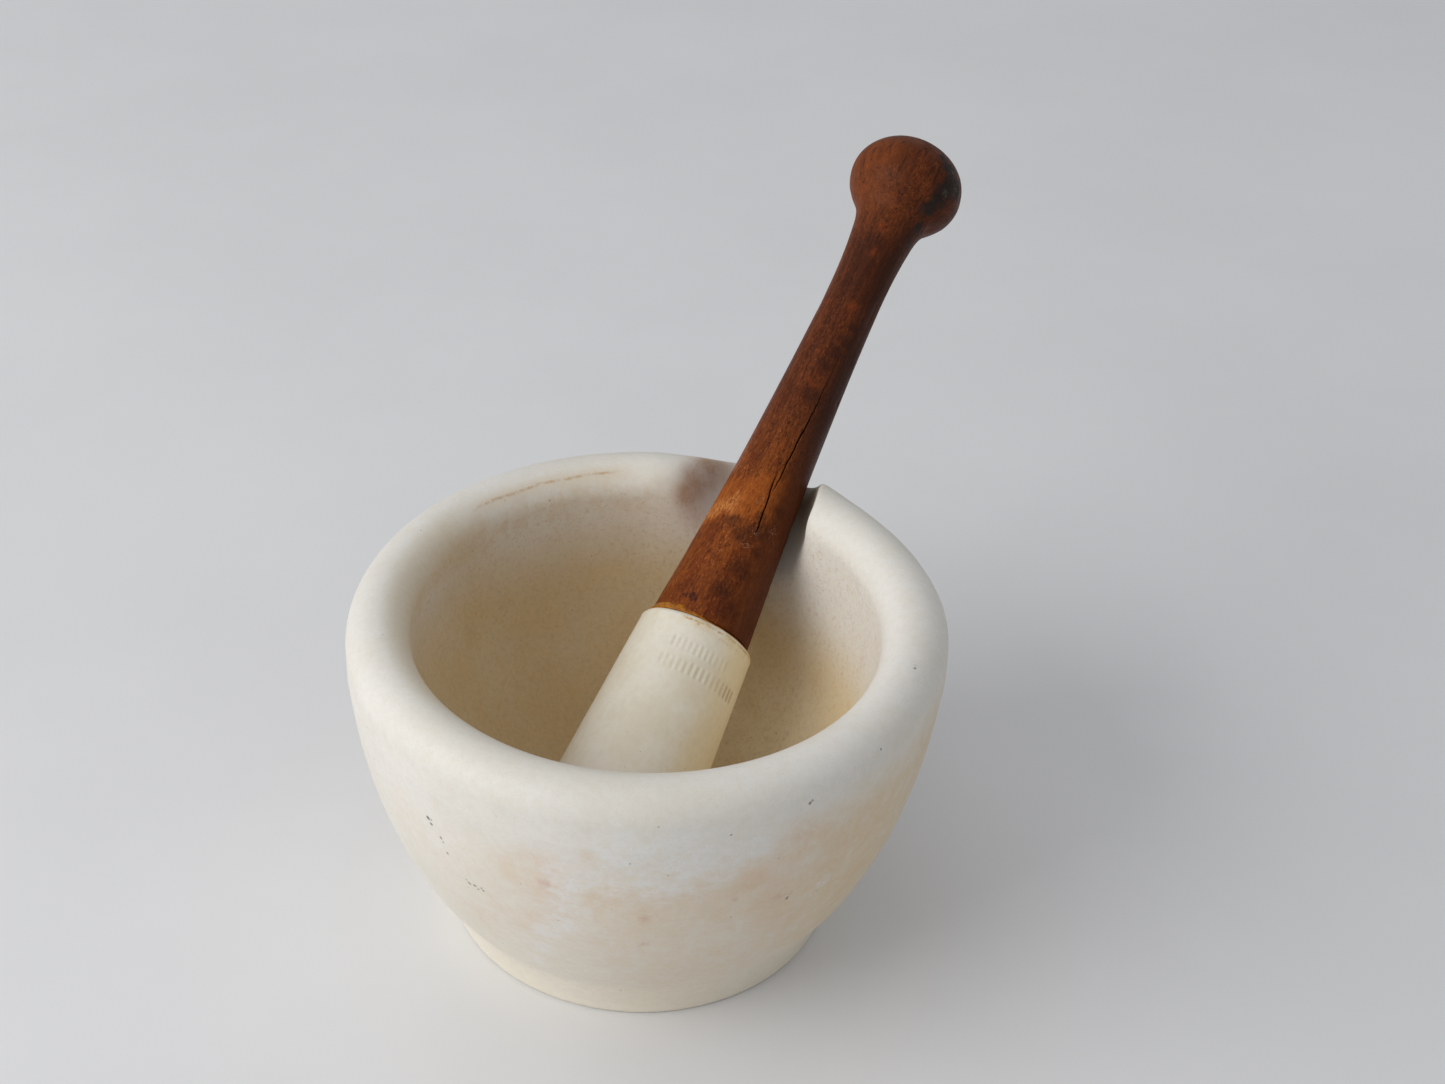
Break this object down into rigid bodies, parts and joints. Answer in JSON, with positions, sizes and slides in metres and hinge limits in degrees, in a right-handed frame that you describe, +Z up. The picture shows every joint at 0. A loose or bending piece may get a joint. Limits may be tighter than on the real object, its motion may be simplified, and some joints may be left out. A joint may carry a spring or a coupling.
{
  "type": "mortar and pestle",
  "caption": "Thick stoneware mortar with a rolled rim, pouring spout and low foot, holding a pestle with a round stoneware head and a turned wooden handle with a ball knob.",
  "frame": {"origin": "centre of the mortar's foot plane, on the axis of the bowl", "axes": "+Z up along the axis of the bowl; the spout and the leaning pestle point 24.8 degrees from +Y towards +X"},
  "size_m": [0.1336, 0.1976, 0.1326],
  "materials": {
    "mortar_stoneware": "satin",
    "head_stoneware": "satin",
    "amber_resin": "gloss",
    "stained_hardwood": "satin"
  },
  "bodies": {
    "mortar": {"mortar": "mortar_stoneware"},
    "pestle": {"pestle_head": "head_stoneware", "resin_cement": "amber_resin", "pestle_handle": "stained_hardwood"}
  },
  "joints": [
    {"name": "pestle_lift", "type": "slide", "parent": "mortar", "child": "pestle", "axis": [0, 0, 1], "range_m": [0, 0.09]}
  ]
}
